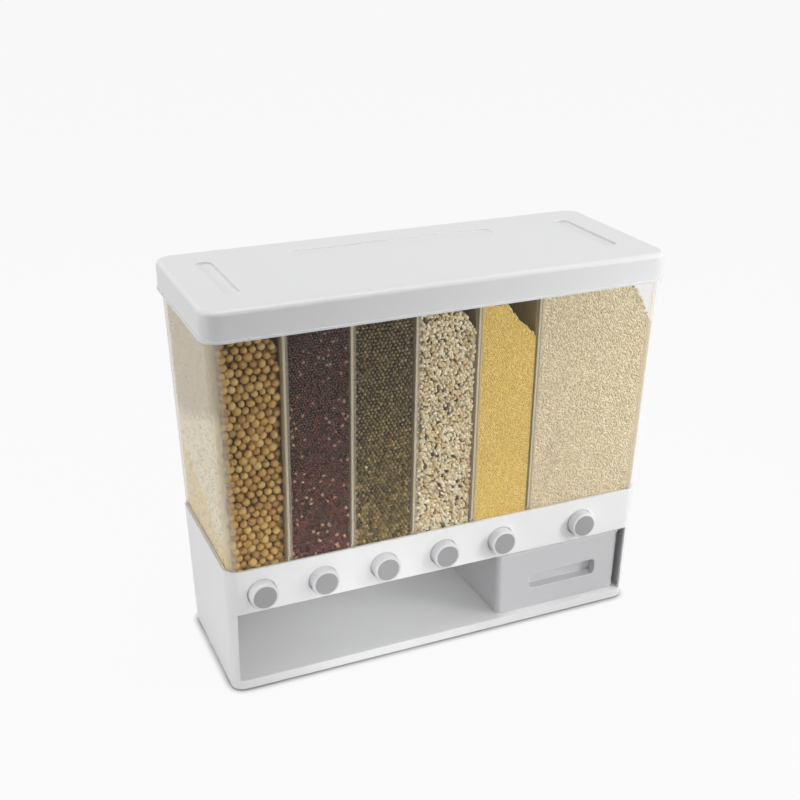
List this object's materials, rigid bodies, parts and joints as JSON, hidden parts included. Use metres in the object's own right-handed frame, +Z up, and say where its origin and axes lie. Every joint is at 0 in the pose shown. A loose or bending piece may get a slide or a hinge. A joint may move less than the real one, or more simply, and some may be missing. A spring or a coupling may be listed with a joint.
{
  "type": "grain dispenser",
  "caption": "Upright kitchen grain dispenser: clear divided hopper, push-button gates in a white base, lift-off lid and pull-out measuring cup.",
  "frame": {"origin": "middle of the overall box, on the floor under the feet", "axes": "+X along the width, -Y towards the buttons, +Z up"},
  "size_m": [0.386, 0.1548, 0.3264],
  "materials": {
    "white_shell": "satin white",
    "white_inner": "plain white",
    "clear_shell": "clear moulded plastic",
    "clear_panel": "clear moulded plastic",
    "grey_button": "satin grey",
    "cloudy_cup": "cloudy clear plastic",
    "seal_rubber": "soft pale grey",
    "foot_rubber": "dark matt",
    "spring_steel": "drawn wire",
    "screw_steel": "zinc plated"
  },
  "bodies": {
    "base": {"base_housing": "white_shell", "valve_deck": "white_inner", "funnel_deck": "white_inner", "hopper": "clear_shell", "divider_1": "clear_panel", "divider_2": "clear_panel", "divider_3": "clear_panel", "divider_4": "clear_panel", "divider_5": "clear_panel", "rubber_feet": "foot_rubber", "deck_screws": "screw_steel"},
    "lid_body": {"lid": "white_shell", "lid_seal": "seal_rubber"},
    "cup_body": {"measuring_cup": "cloudy_cup"},
    "push_1": {"button_1": "grey_button", "gate_1": "white_inner", "return_spring_1": "spring_steel"},
    "push_2": {"button_2": "grey_button", "gate_2": "white_inner", "return_spring_2": "spring_steel"},
    "push_3": {"button_3": "grey_button", "gate_3": "white_inner", "return_spring_3": "spring_steel"},
    "push_4": {"button_4": "grey_button", "gate_4": "white_inner", "return_spring_4": "spring_steel"},
    "push_5": {"button_5": "grey_button", "gate_5": "white_inner", "return_spring_5": "spring_steel"},
    "push_6": {"button_6": "grey_button", "gate_6": "white_inner", "return_spring_6": "spring_steel"}
  },
  "joints": [
    {"name": "lid_lift", "type": "slide", "parent": "base", "child": "lid_body", "axis": [0, 0, 1], "range_m": [0, 0.06]},
    {"name": "cup_pull", "type": "slide", "parent": "base", "child": "cup_body", "axis": [0, -1, 0], "range_m": [0, 0.12]},
    {"name": "button_1_press", "type": "slide", "parent": "base", "child": "push_1", "axis": [0, 1, 0], "range_m": [0, 0.0105], "stiffness_N_per_m": 150, "springref_m": -0.004, "deforming": ["return_spring_1"]},
    {"name": "button_2_press", "type": "slide", "parent": "base", "child": "push_2", "axis": [0, 1, 0], "range_m": [0, 0.0105], "stiffness_N_per_m": 150, "springref_m": -0.004, "deforming": ["return_spring_2"]},
    {"name": "button_3_press", "type": "slide", "parent": "base", "child": "push_3", "axis": [0, 1, 0], "range_m": [0, 0.0105], "stiffness_N_per_m": 150, "springref_m": -0.004, "deforming": ["return_spring_3"]},
    {"name": "button_4_press", "type": "slide", "parent": "base", "child": "push_4", "axis": [0, 1, 0], "range_m": [0, 0.0105], "stiffness_N_per_m": 150, "springref_m": -0.004, "deforming": ["return_spring_4"]},
    {"name": "button_5_press", "type": "slide", "parent": "base", "child": "push_5", "axis": [0, 1, 0], "range_m": [0, 0.0105], "stiffness_N_per_m": 150, "springref_m": -0.004, "deforming": ["return_spring_5"]},
    {"name": "button_6_press", "type": "slide", "parent": "base", "child": "push_6", "axis": [0, 1, 0], "range_m": [0, 0.0105], "stiffness_N_per_m": 150, "springref_m": -0.004, "deforming": ["return_spring_6"]}
  ]
}
